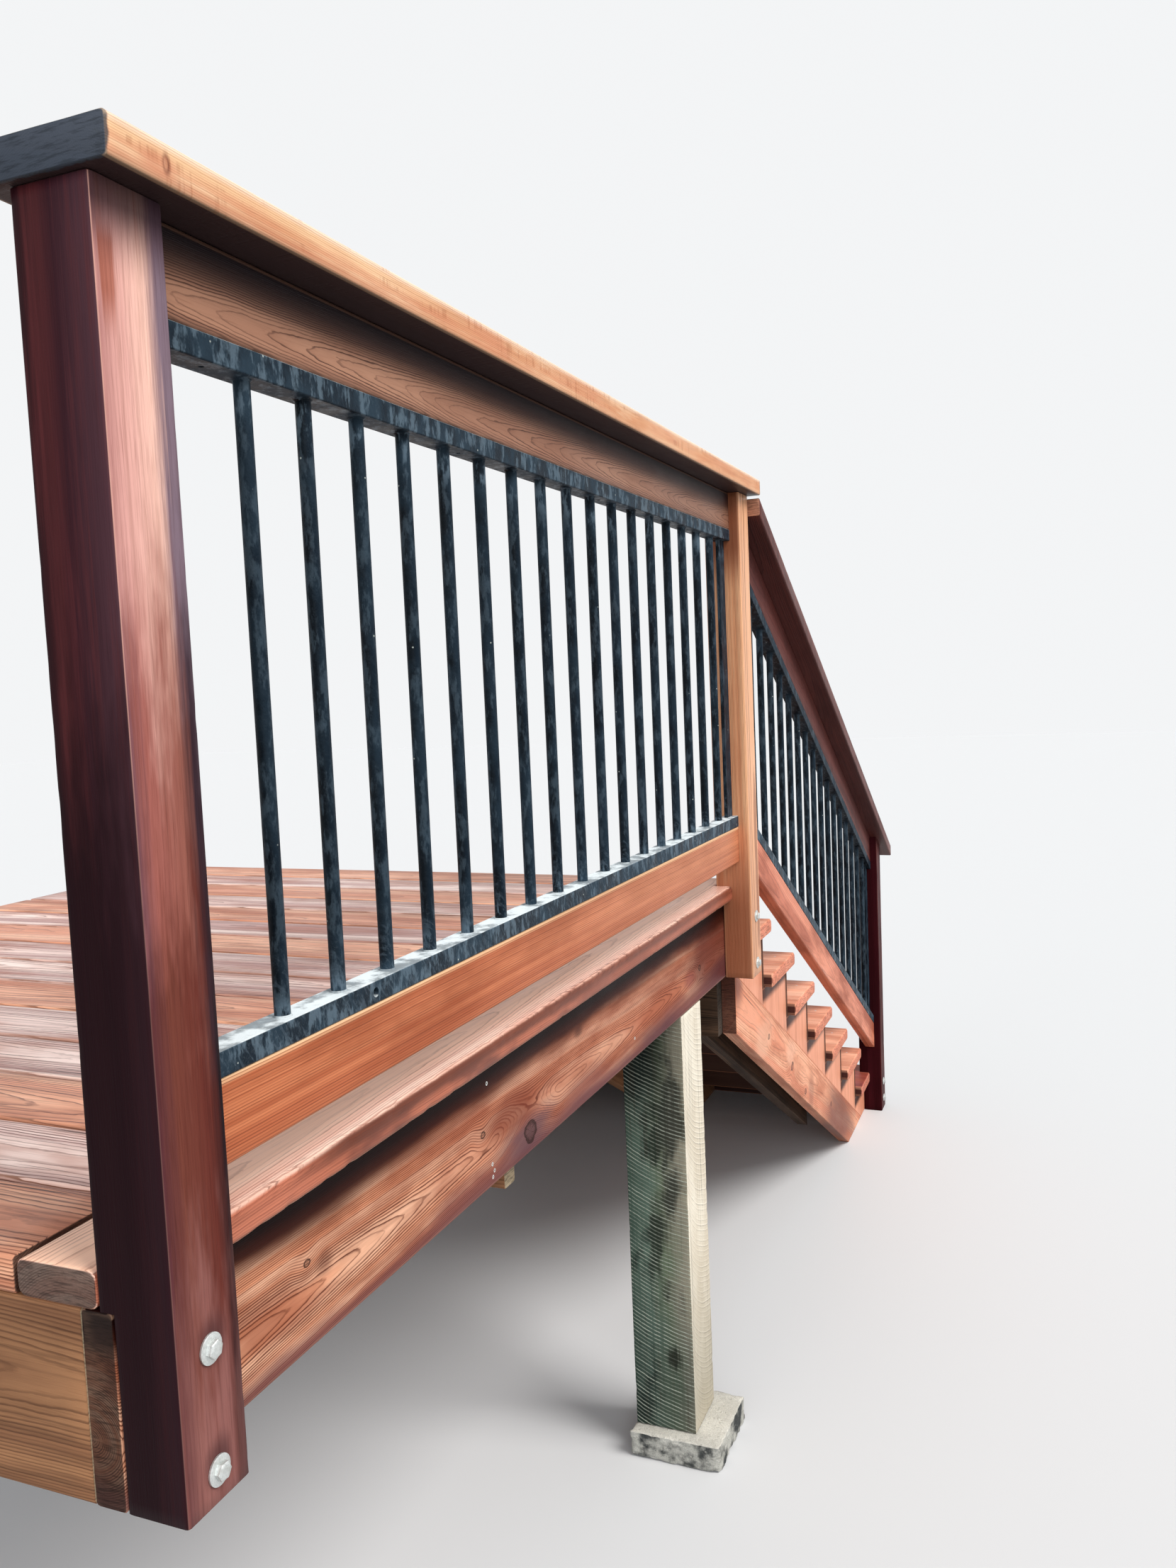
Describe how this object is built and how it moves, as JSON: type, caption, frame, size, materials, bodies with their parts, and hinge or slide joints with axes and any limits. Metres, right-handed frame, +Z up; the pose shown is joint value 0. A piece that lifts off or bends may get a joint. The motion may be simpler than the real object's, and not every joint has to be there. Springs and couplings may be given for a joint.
{
  "type": "wooden deck stairs",
  "caption": "Raised wooden deck with a wide flight of closed stairs down to the ground and, along one side, a wooden guard rail with steel baluster panels.",
  "frame": {"origin": "on the ground, under the middle of the whole, stair and deck together", "axes": "+Y runs along the deck from its near end and down the stairs, +X points from the house side out to the guard rail, +Z is up"},
  "size_m": [1.923, 4.2726, 2.29],
  "materials": {
    "deck_cedar": "planed, unfinished",
    "frame_cedar": "planed, unfinished",
    "post_cedar": "planed, eased edges",
    "rail_cedar": "planed, eased edges",
    "stair_cedar": "planed, rounded edges",
    "old_wood": "rough sawn, weathered",
    "painted_steel": "satin, scuffed",
    "galvanised_steel": "dull zinc",
    "concrete": "rough, granular"
  },
  "bodies": {
    "root": {"deck_boards": "deck_cedar", "border_board": "deck_cedar", "rim_board": "frame_cedar", "near_header": "frame_cedar", "far_header": "frame_cedar", "ledger_board": "frame_cedar", "deck_joists": "frame_cedar", "cross_beam": "frame_cedar", "hanger_board": "frame_cedar", "support_posts": "old_wood", "pier_blocks": "concrete", "near_post": "post_cedar", "middle_post": "post_cedar", "bottom_post": "post_cedar", "deck_cap": "rail_cedar", "deck_top_rail": "rail_cedar", "deck_bottom_rail": "rail_cedar", "deck_panel": "painted_steel", "stair_cap": "rail_cedar", "stair_top_rail": "rail_cedar", "stair_bottom_rail": "rail_cedar", "stair_panel": "painted_steel", "stringer_band": "stair_cedar", "step_blocks": "stair_cedar", "old_stringer": "old_wood", "inner_stringers": "frame_cedar", "tread_1": "stair_cedar", "tread_2": "stair_cedar", "tread_3": "stair_cedar", "tread_4": "stair_cedar", "tread_5": "stair_cedar", "tread_6": "stair_cedar", "tread_7": "stair_cedar", "riser_boards": "stair_cedar", "post_bolts": "galvanised_steel"}
  },
  "joints": []
}
